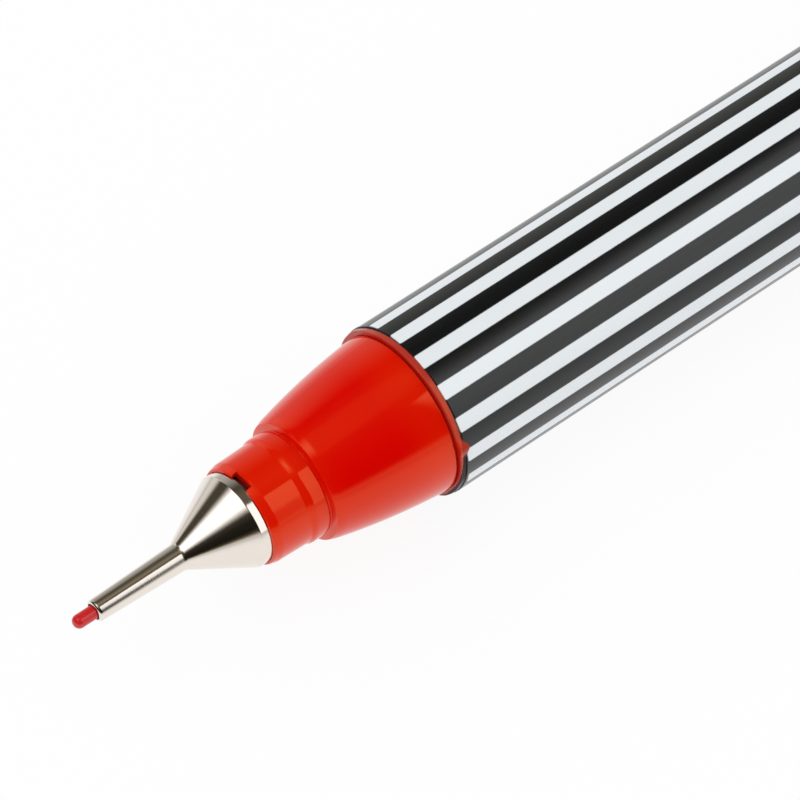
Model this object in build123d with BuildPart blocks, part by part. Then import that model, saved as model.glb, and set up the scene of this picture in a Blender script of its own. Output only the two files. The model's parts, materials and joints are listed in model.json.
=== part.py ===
"""Fineliner pen with a sprung metal tip, lying along X with its cap posted on the tail.

The pen's axis is the X axis. The nib points to -X, and the origin is on the axis,
midway between the nose's flange and the barrel's tail. All sizes are in millimetres.
"""

import os
from math import acos, atan2, cos, degrees, hypot, pi, sin, sqrt

from build123d import *

# Body: the nose's flange and behind it the striped barrel, whose ribs hold the ink reservoir
BARREL_DIAMETER = 9.0
BARREL_WALL = 0.8
BODY_LENGTH = 88.0
RIB_COUNT = 6
RIB_WIDTH = 0.6
RIB_HEIGHT = 0.45
RIB_END_GAP = 1.0

# Nose: flange at the barrel's rim, convex body, snap groove, ridge and collar
FLANGE_LENGTH = 0.33
FLANGE_STEP = 0.02
NOSE_STEP = 0.27
NOSE_LENGTH = 6.3
NOSE_BULGE = 0.137
SHOULDER_LENGTH = 0.1
SHOULDER_RISE = 0.48
SHOULDER_FILLET = 0.35
GROOVE_LENGTH = 0.1
GROOVE_DEPTH = 0.12
RIDGE_LENGTH = 0.75
RIDGE_STEP = 0.25
RIDGE_RISE = 0.1
COLLAR_LENGTH = 2.13
COLLAR_TAPER = 0.06
COLLAR_WALL = 0.21
COLLAR_EDGE_FILLET = 0.16
VENT_COUNT = 2
VENT_WIDTH = 1.2
VENT_DEPTH = 0.32
NOSE_SPIGOT_LENGTH = 8.0
SPIGOT_WALL = 0.7
NECK_LENGTH = 3.0
CHAMBER_LENGTH = 6.5
WEB_THICKNESS = 1.2
GUIDE_DIAMETER = 2.6
GUIDE_SETBACK = 0.5

# Metal tip: needle, cone and base, with a socket at the back for the carrier
NEEDLE_LENGTH = 4.93
NEEDLE_END_DIAMETER = 1.15
NEEDLE_ROOT_DIAMETER = 1.38
NEEDLE_FILLET = 0.1
CONE_LENGTH = 3.18
TIP_BASE_DIAMETER = 4.76
TIP_BAND = 0.43
TIP_BASE_DEPTH = 0.9
SOCKET_DIAMETER = 2.5
SOCKET_DEPTH = 1.5
TIP_TRAVEL = 0.6

# Tip carrier: plastic shank behind the metal tip, with the barb that keeps it in the nose
SHANK_DIAMETER = 3.2
BARB_LENGTH = 0.5
BARB_RISE = 0.25
BARB_CHAMFER = 0.2
PILOT_DIAMETER = 2.1
PILOT_LENGTH = 0.9

# Nib: a rod with a round point that reaches back into the reservoir
NIB_DIAMETER = 0.69
NIB_EXPOSED = 1.15
NIB_INSERTION = 5.0

# Spring behind the metal tip
SPRING_DIAMETER = 3.0
SPRING_WIRE = 0.3
SPRING_TURNS = 6

# Ink reservoir
FILM_THICKNESS = 0.1

# Tail plug
TAIL_SPIGOT_LENGTH = 9.0
TAIL_END_WALL = 1.3
TAIL_TAPER = 0.35
TAIL_TAPER_LENGTH = 3.0
TAIL_FILLET = 0.4
BOSS_REACH = 5.0
BOSS_WALL = 0.8
BOSS_GAP = 0.7

# Cap: shell, sealing liner, crown and clip
CAP_LENGTH = 40.0
CAP_WALL = 0.7
CAP_MOUTH_FILLET = 0.2
LINER_WALL = 0.7
LINER_RING_LENGTH = 1.2
LINER_COLLAR_SPARE = 0.65
LINER_NEEDLE_BORE = 2.4
LINER_END_WALL = 0.8
CROWN_SPIGOT_LENGTH = 5.0
CROWN_SPIGOT_WALL = 0.85
CROWN_THICKNESS = 1.5
CROWN_DOME = 0.5
CROWN_STEP = 0.2
CROWN_FILLET = 0.4
CLIP_THICKNESS = 0.5
CLIP_ROOT_WIDTH = 3.4
CLIP_TIP_WIDTH = 2.6
CLIP_TANG_RADIUS = 3.0
CLIP_RISE = 1.2
CLIP_BEND = 0.8
CLIP_HEEL_BEND = 4.0
CLIP_CONTACT = 7.0
CLIP_LIP_LENGTH = 2.6
CLIP_LIP_RISE = 0.7

# Clearances
PRESS_GAP = 0.02
RIB_GAP = 0.03
END_GAP = 0.05
TIP_CLEARANCE = 0.06
TRAVEL_SPARE = 0.15
CHAMBER_CLEARANCE = 0.25
NIB_GRIP_GAP = 0.015
NIB_HOLE_GAP = 0.05
NIB_GUIDE_GAP = 0.2
CAP_NOSE_GAP = 0.09
CAP_FIT = 0.05
CAP_SEAT_GAP = 0.1
LINER_SEAT_GAP = 0.2
LINER_FIT = 0.15
LINER_NIB_GAP = 0.8
STUB_SPARE = 0.7
CLIP_SLOT_GAP = 0.15
CLIP_CONTACT_GAP = 0.12

# Radii that follow from the sizes above
barrel_r = BARREL_DIAMETER / 2
bore_r = barrel_r - BARREL_WALL
rib_r = bore_r - RIB_HEIGHT
spigot_r = bore_r - PRESS_GAP
cavity_r = spigot_r - SPIGOT_WALL
flange_r = barrel_r - FLANGE_STEP
nose_rear_r = flange_r - NOSE_STEP
tip_base_r = TIP_BASE_DIAMETER / 2
collar_bore_r = tip_base_r + TIP_CLEARANCE
collar_r = collar_bore_r + COLLAR_WALL
step_r = collar_r + COLLAR_TAPER
ridge_r = step_r + RIDGE_RISE
groove_r = ridge_r - GROOVE_DEPTH
shoulder_r = groove_r + SHOULDER_RISE
socket_r = SOCKET_DIAMETER / 2
shank_r = SHANK_DIAMETER / 2
pilot_r = PILOT_DIAMETER / 2
neck_r = shank_r + TIP_CLEARANCE
barb_r = shank_r + BARB_RISE
chamber_r = barb_r + CHAMBER_CLEARANCE
nib_r = NIB_DIAMETER / 2
nib_bore_r = nib_r + NIB_GRIP_GAP
guide_bore_r = nib_r + NIB_GUIDE_GAP
guide_r = GUIDE_DIAMETER / 2
boss_r = cavity_r - BOSS_GAP
boss_bore_r = boss_r - BOSS_WALL
wrap_r = rib_r - RIB_GAP
wrap_bore_r = wrap_r - FILM_THICKNESS
core_r = wrap_bore_r - PRESS_GAP

# The cap's liner clears the collar, and its shell clears both the nose and the liner
liner_bore_r = ridge_r + LINER_FIT
liner_cone_r = tip_base_r + LINER_FIT
liner_needle_r = LINER_NEEDLE_BORE / 2
liner_r = liner_bore_r + LINER_WALL
cap_bore_r = max(nose_rear_r + CAP_NOSE_GAP, liner_r + LINER_FIT)
cap_r = cap_bore_r + CAP_WALL
stub_r = cap_bore_r - CAP_FIT

# Stations along the axis, from the barrel's front over the flange's rim towards the nib
rim_x = -BODY_LENGTH / 2
barrel_x = rim_x + FLANGE_LENGTH
shoulder_x = rim_x - NOSE_LENGTH
groove_x = shoulder_x - SHOULDER_LENGTH
ridge_x = groove_x - GROOVE_LENGTH
ridge_end_x = ridge_x - RIDGE_LENGTH
step_x = ridge_end_x - RIDGE_STEP
collar_x = step_x - COLLAR_LENGTH
cone_base_x = collar_x - TIP_BAND
cone_apex_x = cone_base_x - CONE_LENGTH
needle_x = cone_apex_x - NEEDLE_LENGTH
nib_x = needle_x - NIB_EXPOSED

# Stations inside the nose, from the collar's front to the reservoir
tip_rear_x = collar_x + TIP_BASE_DEPTH
socket_x = tip_rear_x - SOCKET_DEPTH
seat_x = tip_rear_x + TIP_TRAVEL + TRAVEL_SPARE
neck_end_x = seat_x + NECK_LENGTH
barb_x = neck_end_x + END_GAP
barb_rear_x = barb_x + BARB_LENGTH
pilot_x = barb_rear_x + PILOT_LENGTH
chamber_end_x = neck_end_x + CHAMBER_LENGTH
web_end_x = chamber_end_x + WEB_THICKNESS
nose_end_x = rim_x + NOSE_SPIGOT_LENGTH
guide_end_x = nose_end_x - GUIDE_SETBACK
core_front_x = nose_end_x + END_GAP
nib_end_x = core_front_x + NIB_INSERTION
nib_hole_x = nib_end_x + TIP_TRAVEL + TRAVEL_SPARE

# Stations at the tail and in the cap
tail_x = BODY_LENGTH / 2
tail_spigot_x = tail_x - TAIL_SPIGOT_LENGTH
boss_x = tail_spigot_x - BOSS_REACH
core_rear_x = boss_x - END_GAP
mouth_x = tail_x + CAP_SEAT_GAP
liner_x = mouth_x + NOSE_LENGTH + LINER_SEAT_GAP
stub_x = liner_x - STUB_SPARE
cap_end_x = mouth_x + CAP_LENGTH

# The capped nose, mirrored into the cap: where the collar, cone and nib would stand
in_cap = mouth_x + rim_x
liner_step_x = in_cap - collar_x + LINER_COLLAR_SPARE
liner_cone_x = in_cap - cone_base_x + LINER_COLLAR_SPARE
liner_apex_x = in_cap - cone_apex_x + LINER_COLLAR_SPARE
liner_end_x = in_cap - nib_x + LINER_NIB_GAP

# The clip lies on the table beside the cap, so that the pen doesn't roll
tang_x = cap_end_x - CLIP_SLOT_GAP - CLIP_THICKNESS / 2
arm_r = cap_r + CLIP_RISE
contact_r = cap_r + CLIP_CONTACT_GAP + CLIP_THICKNESS / 2
arm_top_r = arm_r + CLIP_THICKNESS / 2
clip_corner_r = hypot(arm_top_r, CLIP_ROOT_WIDTH / 2)
clip_turn = acos(cap_r / clip_corner_r) + atan2(CLIP_ROOT_WIDTH / 2, arm_top_r)
clip_out = Vector(0, -sin(clip_turn), -cos(clip_turn))
clip_side = Vector(1, 0, 0).cross(clip_out)
clip_plane = Plane(origin=(0, 0, 0), x_dir=(1, 0, 0), z_dir=clip_side)
clip_plan = Plane(origin=(0, 0, 0), x_dir=(1, 0, 0), z_dir=clip_out)


def corner(sketch, x, radius):
    """The vertex of a profile sketch that lies at (x, radius)."""
    return sketch.vertices().sort_by_distance((x, radius))[0]


def coil_station(turn, start_x, pitch, radius):
    """A point and unit tangent on the helix round the pen's axis, after so many turns."""
    angle = 2 * pi * turn
    point = Vector(start_x + pitch * turn, radius * cos(angle), radius * sin(angle))
    tangent = Vector(pitch / (2 * pi), -radius * sin(angle), radius * cos(angle))
    return point, tangent.normalized()


def biarc_middle(start, start_tangent, end, end_tangent):
    """The point where two equal tangent arcs from start to end meet, and their tangent there."""
    chord = end - start
    both = start_tangent + end_tangent
    spread = 2 * (1 - start_tangent.dot(end_tangent))
    along = chord.dot(both)
    reach = (sqrt(along**2 + spread * chord.dot(chord)) - along) / spread
    first = start + start_tangent * reach
    second = end - end_tangent * reach
    return (first + second) * 0.5, (second - first).normalized()


# Barrel
with BuildPart() as barrel:
    with BuildSketch(Plane.YZ.offset(barrel_x)):
        Circle(barrel_r)
        Circle(bore_r, mode=Mode.SUBTRACT)
    extrude(amount=tail_x - barrel_x)
    rib_start_x = nose_end_x + RIB_END_GAP
    rib_length = tail_spigot_x - RIB_END_GAP - rib_start_x
    with BuildSketch(Plane.YZ.offset(rib_start_x)):
        with PolarLocations((rib_r + bore_r) / 2, RIB_COUNT):
            Rectangle(RIB_HEIGHT + BARREL_WALL / 2, RIB_WIDTH)
        Circle(rib_r, mode=Mode.SUBTRACT)
    extrude(amount=rib_length)

# Nose section: outside from the spigot to the collar, then the stepped bore
with BuildPart() as nose_section:
    with BuildSketch(Plane.XY) as nose_profile:
        with BuildLine():
            Polyline(
                (collar_x, collar_bore_r),
                (seat_x, collar_bore_r),
                (seat_x, neck_r),
                (neck_end_x, neck_r),
                (neck_end_x, chamber_r),
                (chamber_end_x, chamber_r),
                (chamber_end_x, guide_bore_r),
                (guide_end_x, guide_bore_r),
                (guide_end_x, guide_r),
                (web_end_x, guide_r),
                (web_end_x, cavity_r),
                (nose_end_x, cavity_r),
                (nose_end_x, spigot_r),
                (barrel_x, spigot_r),
                (barrel_x, flange_r),
                (rim_x, flange_r),
                (rim_x, nose_rear_r),
            )
            SagittaArc((rim_x, nose_rear_r), (shoulder_x, shoulder_r), -NOSE_BULGE)
            Polyline(
                (shoulder_x, shoulder_r),
                (groove_x, groove_r),
                (ridge_x, ridge_r),
                (ridge_end_x, ridge_r),
                (step_x, step_r),
                (collar_x, collar_r),
                (collar_x, collar_bore_r),
            )
        make_face()
        fillet(corner(nose_profile, shoulder_x, shoulder_r), SHOULDER_FILLET)
        fillet(corner(nose_profile, collar_x, collar_r), COLLAR_EDGE_FILLET)
    revolve(axis=Axis.X)
    with BuildSketch(Plane.YZ.offset(collar_x)):
        with PolarLocations((collar_bore_r + collar_r) / 2, VENT_COUNT, start_angle=90):
            Rectangle(2 * COLLAR_WALL, VENT_WIDTH)
    extrude(amount=VENT_DEPTH, mode=Mode.SUBTRACT)

# Metal tip, turned in one piece
with BuildPart() as metal_tip:
    with BuildSketch(Plane.XY) as tip_profile:
        with BuildLine():
            Polyline(
                (needle_x, nib_bore_r),
                (socket_x, nib_bore_r),
                (socket_x, socket_r),
                (tip_rear_x, socket_r),
                (tip_rear_x, tip_base_r),
                (cone_base_x, tip_base_r),
                (cone_apex_x, NEEDLE_ROOT_DIAMETER / 2),
                (needle_x, NEEDLE_END_DIAMETER / 2),
                close=True,
            )
        make_face()
        fillet(corner(tip_profile, needle_x, NEEDLE_END_DIAMETER / 2), NEEDLE_FILLET)
    revolve(axis=Axis.X)

# Tip carrier, pressed into the metal tip's socket
with BuildPart() as tip_carrier:
    with BuildSketch(Plane.XY) as carrier_profile:
        with BuildLine():
            Polyline(
                (socket_x + END_GAP, nib_bore_r),
                (pilot_x, nib_bore_r),
                (pilot_x, pilot_r),
                (barb_rear_x, pilot_r),
                (barb_rear_x, barb_r),
                (barb_x, barb_r),
                (barb_x, shank_r),
                (tip_rear_x, shank_r),
                (tip_rear_x, socket_r - PRESS_GAP),
                (socket_x + END_GAP, socket_r - PRESS_GAP),
                close=True,
            )
        make_face()
        chamfer(corner(carrier_profile, barb_rear_x, barb_r), BARB_CHAMFER)
    revolve(axis=Axis.X)

# Nib
with BuildPart() as nib:
    with BuildSketch(Plane.XY):
        with BuildLine():
            RadiusArc((nib_x, 0), (nib_x + nib_r, nib_r), nib_r)
            Polyline((nib_x + nib_r, nib_r), (nib_end_x, nib_r), (nib_end_x, 0), (nib_x, 0))
        make_face()
    revolve(axis=Axis.X)

# Spring behind the barb: a helix of two tangent arcs for each half turn
with BuildPart() as tip_spring:
    spring_r = (SPRING_DIAMETER - SPRING_WIRE) / 2
    spring_start_x = barb_rear_x + END_GAP + SPRING_WIRE / 2
    spring_end_x = chamber_end_x - END_GAP - SPRING_WIRE / 2
    pitch = (spring_end_x - spring_start_x) / SPRING_TURNS
    with BuildLine() as coil:
        for half_turn in range(2 * SPRING_TURNS):
            start, start_tangent = coil_station(half_turn / 2, spring_start_x, pitch, spring_r)
            end, end_tangent = coil_station(half_turn / 2 + 0.5, spring_start_x, pitch, spring_r)
            middle, middle_tangent = biarc_middle(start, start_tangent, end, end_tangent)
            TangentArc(start, middle, tangent=start_tangent)
            TangentArc(middle, end, tangent=middle_tangent)
    with BuildSketch(Plane(origin=coil.line @ 0, z_dir=coil.line % 0)):
        Circle(SPRING_WIRE / 2)
    sweep(path=coil.line)

# Reservoir: fibre core with a blind hole for the nib, in a film sleeve
with BuildPart() as reservoir_core:
    with BuildSketch(Plane.YZ.offset(core_front_x)):
        Circle(core_r)
    extrude(amount=core_rear_x - core_front_x)
    with BuildSketch(Plane.YZ.offset(core_front_x)):
        Circle(nib_r + NIB_HOLE_GAP)
    extrude(amount=nib_hole_x - core_front_x, mode=Mode.SUBTRACT)

with BuildPart() as reservoir_wrap:
    with BuildSketch(Plane.YZ.offset(core_front_x)):
        Circle(wrap_r)
        Circle(wrap_bore_r, mode=Mode.SUBTRACT)
    extrude(amount=core_rear_x - core_front_x)

# Tail plug: spigot in the barrel, stub for the posted cap, boss that bears on the reservoir
with BuildPart() as tail_plug:
    tail_cavity_x = stub_x - TAIL_END_WALL
    with BuildSketch(Plane.XY) as tail_profile:
        with BuildLine():
            Polyline(
                (stub_x, 0),
                (stub_x, stub_r - TAIL_TAPER),
                (stub_x - TAIL_TAPER_LENGTH, stub_r),
                (tail_x, stub_r),
                (tail_x, spigot_r),
                (tail_spigot_x, spigot_r),
                (tail_spigot_x, cavity_r),
                (tail_cavity_x, cavity_r),
                (tail_cavity_x, boss_r),
                (boss_x, boss_r),
                (boss_x, boss_bore_r),
                (tail_cavity_x, boss_bore_r),
                (tail_cavity_x, 0),
                close=True,
            )
        make_face()
        fillet(corner(tail_profile, stub_x, stub_r - TAIL_TAPER), TAIL_FILLET)
    revolve(axis=Axis.X)

# Cap shell, with a slot in its far rim for the clip's tang
with BuildPart() as cap_shell:
    with BuildSketch(Plane.XY) as shell_profile:
        with BuildLine():
            Polyline(
                (mouth_x, cap_bore_r),
                (cap_end_x, cap_bore_r),
                (cap_end_x, cap_r),
                (mouth_x, cap_r),
                close=True,
            )
        make_face()
        fillet(corner(shell_profile, mouth_x, cap_r), CAP_MOUTH_FILLET)
    revolve(axis=Axis.X)
    slot_length = CLIP_THICKNESS + 2 * CLIP_SLOT_GAP
    slot_width = CLIP_ROOT_WIDTH + 2 * CLIP_SLOT_GAP
    with BuildSketch(clip_plan):
        with Locations((tang_x, 0)):
            Rectangle(slot_length, slot_width)
    extrude(amount=arm_r, mode=Mode.SUBTRACT)

# Cap liner: follows the capped nose at an even wall, with two rings that grip the shell
with BuildPart() as cap_liner:
    with BuildSketch(Plane.XY):
        with BuildLine():
            Polyline(
                (liner_x, liner_bore_r),
                (liner_step_x, liner_bore_r),
                (liner_step_x, liner_cone_r),
                (liner_cone_x, liner_cone_r),
                (liner_apex_x, liner_needle_r),
                (liner_end_x, liner_needle_r),
                (liner_end_x, 0),
                (liner_end_x + LINER_END_WALL, 0),
                (liner_end_x + LINER_END_WALL, liner_needle_r + LINER_WALL),
                (liner_apex_x, liner_needle_r + LINER_WALL),
                (liner_cone_x, liner_cone_r + LINER_WALL),
                (liner_step_x + LINER_WALL, liner_cone_r + LINER_WALL),
                (liner_step_x + LINER_WALL, liner_r),
                (liner_x, liner_r),
                close=True,
            )
        make_face()
    revolve(axis=Axis.X)
    for ring_x in (liner_x, liner_step_x + LINER_WALL - LINER_RING_LENGTH):
        with BuildSketch(Plane.YZ.offset(ring_x)):
            Circle(cap_bore_r - PRESS_GAP)
            Circle(liner_bore_r, mode=Mode.SUBTRACT)
        extrude(amount=LINER_RING_LENGTH)

# Cap crown: domed plug, slotted for the tang
with BuildPart() as cap_crown:
    crown_r = cap_r - CROWN_STEP
    plug_r = cap_bore_r - PRESS_GAP
    crown_end_x = cap_end_x + CROWN_THICKNESS
    with BuildSketch(Plane.XY) as crown_profile:
        with BuildLine():
            Polyline(
                (crown_end_x + CROWN_DOME, 0),
                (cap_end_x, 0),
                (cap_end_x, plug_r - CROWN_SPIGOT_WALL),
                (cap_end_x - CROWN_SPIGOT_LENGTH, plug_r - CROWN_SPIGOT_WALL),
                (cap_end_x - CROWN_SPIGOT_LENGTH, plug_r),
                (cap_end_x, plug_r),
                (cap_end_x, crown_r),
                (crown_end_x, crown_r),
            )
            dome_radius = (crown_r**2 + CROWN_DOME**2) / (2 * CROWN_DOME)
            RadiusArc((crown_end_x, crown_r), (crown_end_x + CROWN_DOME, 0), dome_radius)
        make_face()
        fillet(corner(crown_profile, crown_end_x, crown_r), CROWN_FILLET)
    revolve(axis=Axis.X)
    with BuildSketch(clip_plan):
        with Locations((tang_x, 0)):
            Rectangle(slot_length, slot_width)
    extrude(amount=arm_r, mode=Mode.SUBTRACT)

# Clip: a strip bent along the cap, narrowing to a rounded end
with BuildPart() as cap_clip:
    contact_x = mouth_x + CLIP_CONTACT
    lip_x = contact_x - CLIP_LIP_LENGTH
    with BuildLine(clip_plane) as strip:
        FilletPolyline(
            (tang_x, CLIP_TANG_RADIUS),
            (tang_x, arm_r),
            (contact_x, contact_r),
            (lip_x, contact_r + CLIP_LIP_RISE),
            radius=(CLIP_BEND, CLIP_HEEL_BEND),
        )
    strip_start = Plane(origin=strip.line @ 0, x_dir=clip_side, z_dir=strip.line % 0)
    with BuildSketch(strip_start):
        Rectangle(CLIP_ROOT_WIDTH, CLIP_THICKNESS)
    sweep(path=strip.line)
    with BuildSketch(clip_plan):
        with BuildLine():
            tip_r = CLIP_TIP_WIDTH / 2
            root_r = CLIP_ROOT_WIDTH / 2
            Polyline(
                (lip_x + tip_r, -tip_r),
                (cap_end_x, -root_r),
                (cap_end_x, root_r),
                (lip_x + tip_r, tip_r),
            )
            ThreePointArc((lip_x + tip_r, tip_r), (lip_x, 0), (lip_x + tip_r, -tip_r))
        make_face()
    extrude(amount=2 * arm_r, mode=Mode.INTERSECT)

pieces = {
    "barrel": barrel,
    "nose_section": nose_section,
    "metal_tip": metal_tip,
    "tip_carrier": tip_carrier,
    "nib": nib,
    "tip_spring": tip_spring,
    "reservoir_core": reservoir_core,
    "reservoir_wrap": reservoir_wrap,
    "tail_plug": tail_plug,
    "cap_shell": cap_shell,
    "cap_liner": cap_liner,
    "cap_crown": cap_crown,
    "cap_clip": cap_clip,
}

os.makedirs("parts", exist_ok=True)
for name, piece in pieces.items():
    piece.part.label = name
    export_step(piece.part, f"parts/{name}.step")

print(f"clip turned {degrees(clip_turn):.2f} degrees from straight down")
print(f"spring gap between turns {pitch - SPRING_WIRE:.2f}")
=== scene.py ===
"""Looks of a fineliner pen: turned surfaces, procedural finishes and a small white studio.

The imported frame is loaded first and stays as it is. Each operator then makes one piece, or a
group of like pieces, as a surface worked out with numpy, gives it its finish and lets it ride
on its body. Lengths are in metres. Angles round the pen are counted from straight up (+Z)
towards -Y.
"""

import json
from math import cos, pi, radians, sin, tan

import bpy
import numpy as np
from bpy.props import FloatProperty, FloatVectorProperty, IntProperty, PointerProperty
from bpy.types import Operator, Panel, PropertyGroup
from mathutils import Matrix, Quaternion, Vector


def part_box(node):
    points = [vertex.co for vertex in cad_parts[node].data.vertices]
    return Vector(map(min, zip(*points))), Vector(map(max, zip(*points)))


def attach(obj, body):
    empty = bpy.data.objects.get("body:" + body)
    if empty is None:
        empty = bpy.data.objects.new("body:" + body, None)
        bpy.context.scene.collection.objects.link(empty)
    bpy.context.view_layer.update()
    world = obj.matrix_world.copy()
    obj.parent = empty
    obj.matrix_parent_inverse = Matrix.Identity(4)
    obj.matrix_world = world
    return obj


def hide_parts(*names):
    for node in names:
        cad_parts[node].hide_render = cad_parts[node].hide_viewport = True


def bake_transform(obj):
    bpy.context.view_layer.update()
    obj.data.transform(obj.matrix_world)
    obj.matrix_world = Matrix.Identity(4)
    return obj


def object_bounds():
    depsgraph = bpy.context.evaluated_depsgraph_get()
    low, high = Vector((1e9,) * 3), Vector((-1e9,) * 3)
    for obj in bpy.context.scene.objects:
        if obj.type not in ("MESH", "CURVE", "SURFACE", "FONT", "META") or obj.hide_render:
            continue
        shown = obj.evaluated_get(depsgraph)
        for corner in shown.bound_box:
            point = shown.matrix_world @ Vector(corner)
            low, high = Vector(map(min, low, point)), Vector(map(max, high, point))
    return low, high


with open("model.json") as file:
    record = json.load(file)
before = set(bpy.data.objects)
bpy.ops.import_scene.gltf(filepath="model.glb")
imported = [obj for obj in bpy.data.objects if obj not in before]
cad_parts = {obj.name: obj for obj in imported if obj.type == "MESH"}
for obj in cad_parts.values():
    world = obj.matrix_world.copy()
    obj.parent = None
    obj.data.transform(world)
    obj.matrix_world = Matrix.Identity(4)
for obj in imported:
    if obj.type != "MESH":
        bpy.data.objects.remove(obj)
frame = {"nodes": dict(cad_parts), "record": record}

bl_info = {
    "name": "Fineliner pen",
    "version": (1, 0, 0),
    "blender": (4, 5, 0),
    "location": "3D View > Sidebar > Pen",
    "description": "Builds the visible surfaces, finishes and studio of a fineliner pen",
    "category": "Object",
}

MM = 0.001

# The whole part's box and its mounts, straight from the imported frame
CAD_LOW, CAD_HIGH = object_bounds()
MOUNTS = {mount["name"]: mount for mount in frame["record"]["mounts"]}
BARREL_R = MOUNTS["barrel"]["dims"]["r_mm"] * MM
CLIP_OUT = np.array(MOUNTS["clip"]["axis"])


def span(node):
    """Where a node of the frame starts and ends along the pen's axis."""
    low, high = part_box(node)
    return low.x, high.x


BARREL_X, TAIL_X = span("barrel")
COLLAR_X, NOSE_END_X = span("nose_section")
NEEDLE_X, TIP_REAR_X = span("metal_tip")
NIB_X, NIB_END_X = span("nib")
SPRING_X, SPRING_END_X = span("tip_spring")
BOSS_X, STUB_X = span("tail_plug")
MOUTH_X, CAP_END_X = span("cap_shell")
CROWN_PLUG_X, CROWN_TOP_X = span("cap_crown")
LIP_X = span("cap_clip")[0]

# Radii of the pieces' outsides and bores
BORE_R = 3.7 * MM
SPIGOT_R = 3.68 * MM
CAVITY_R = 2.98 * MM
FLANGE_R = 4.45 * MM
NOSE_REAR_R = 4.21 * MM
GAP_R = 4.12 * MM
SLOPE_R = 3.238 * MM
SHOULDER_R = 3.117 * MM
GROOVE_R = 2.77 * MM
RIDGE_R = 2.8 * MM
STEP_R = 2.7 * MM
COLLAR_R = 2.655 * MM
LEDGE_R = 2.545 * MM
COLLAR_BORE_R = 2.43 * MM
NECK_R = 1.66 * MM
CHAMBER_R = 2.1 * MM
GUIDE_R = 1.3 * MM
GUIDE_BORE_R = 0.545 * MM
TIP_BASE_R = 2.425 * MM
TIP_REAR_R = 2.41 * MM
SHANK_R = 2.2 * MM
NEEDLE_ROOT_R = 0.69 * MM
NEEDLE_END_R = 0.555 * MM
SOCKET_R = 1.25 * MM
NIB_BORE_R = 0.36 * MM
NIB_R = 0.345 * MM
COIL_R = 1.35 * MM
WIRE_R = 0.15 * MM
STUB_R = 4.25 * MM
BOSS_R = 2.28 * MM
BOSS_BORE_R = 1.48 * MM
CAP_R = 5.0 * MM
CAP_BORE_R = 4.3 * MM
CROWN_R = 4.8 * MM
PLUG_R = 4.28 * MM
PLUG_BORE_R = 3.43 * MM

# Stations along the axis that the nodes' ends don't give
RIM_X = BARREL_X - 0.33 * MM
GAP_X = RIM_X - 0.01 * MM
SLOPE_X = RIM_X - 6.1 * MM
SHOULDER_X = RIM_X - 6.36 * MM
GROOVE_X = RIM_X - 6.44 * MM
RIDGE_X = GROOVE_X - 0.12 * MM
RIDGE_END_X = RIDGE_X - 0.73 * MM
STEP_X = RIDGE_END_X - 0.22 * MM
LEDGE_X = COLLAR_X + 0.4 * MM
SEAT_X = COLLAR_X + 1.65 * MM
NECK_END_X = SEAT_X + 3.0 * MM
CHAMBER_END_X = NECK_END_X + 6.5 * MM
WEB_END_X = CHAMBER_END_X + 1.2 * MM
GUIDE_END_X = NOSE_END_X - 0.5 * MM
BAND_X = COLLAR_X + 0.05 * MM
CONE_BASE_X = COLLAR_X - 0.43 * MM
CONE_APEX_X = CONE_BASE_X - 3.18 * MM
SOCKET_X = TIP_REAR_X - 1.5 * MM
TAIL_SPIGOT_X = TAIL_X - 9.0 * MM
TAIL_CAVITY_X = STUB_X - 1.3 * MM
TAPER_X = STUB_X - 3.0 * MM
CROWN_EDGE_X = CAP_END_X + 1.5 * MM

# Angles of the moulding flash on the nose's flange, of the side where the gap before it is widest
# and the painted shade beside the barrel reaches furthest, and of the side where the stripes
# come nearest to the rim
FLASH_ANGLE = radians(73.0)
GAPE_ANGLE = radians(115.0)
LEAN_ANGLE = radians(25.0)

# The clip's strip, as distances along the axis and out from it
TANG_X = CAP_END_X - 0.4 * MM
TANG_R = 3.0 * MM
ARM_R = 6.2 * MM
HEEL_X = MOUTH_X + 7.0 * MM
HEEL_R = 5.37 * MM
LIP_R = 6.07 * MM
CLIP_SLOT = 3.7 * MM

# The room in the pen's gloss: its brightness by the sine of the height, and the tints of its walls
# and panels
ROOM_LEVELS = (
    (0.0, 0.55),
    (0.05, 0.3),
    (0.1, 0.05),
    (0.22, 0.01),
    (0.5, 0.018),
    (0.63, 0.04),
    (0.82, 0.07),
    (0.93, 0.14),
    (0.97, 0.33),
    (1.0, 0.36),
)
ROOM_TINT = (1.0, 0.86, 0.62)
CARD_TINT = (1.0, 0.98, 0.93)
WHITE = (1.0, 1.0, 1.0)

# Panels in the gloss, one unit away: azimuth, elevation, roll, and low, high and softness both ways
KEY_PANEL = (-99.0, 90.0, 0.0, (-0.66, 0.56, 0.36), (-0.72, -0.58, 0.1))
KEY_HEAD = (-99.0, 90.0, 0.0, (-0.22, 0.22, 0.2), (-0.6, -0.16, 0.09))
FILL_PANEL = (47.0, 0.0, -5.4, (-0.5, 0.43, 0.1), (-1.0, 1.69, 0.08))
FILL_WING = (47.0, 0.0, -5.4, (-0.57, -0.3, 0.06), (0.55, 1.69, 0.13))
BACK_CARD = (152.0, 0.0, 0.0, (-0.62, 0.94, 0.13), (-1.0, 0.75, 0.7))
SIDE_CARD = (152.0, 0.0, 0.0, (0.36, 0.94, 0.13), (-1.0, 0.75, 0.7))
DIM_WALL = (-155.0, 0.0, 0.0, (-0.6, 0.6, 0.3), (-1.0, 1.1, 0.3))

# The painted shade on the flange beside the barrel: its reach where the stripes lean away and on
# the gap's open side, how quickly that side falls off, and half the width of its ragged edge
LEAN_SHADE = 0.2 * MM
OPEN_SHADE = 0.3 * MM
OPEN_FALL = 12.0
SHADE_EDGE = 0.03 * MM

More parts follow.
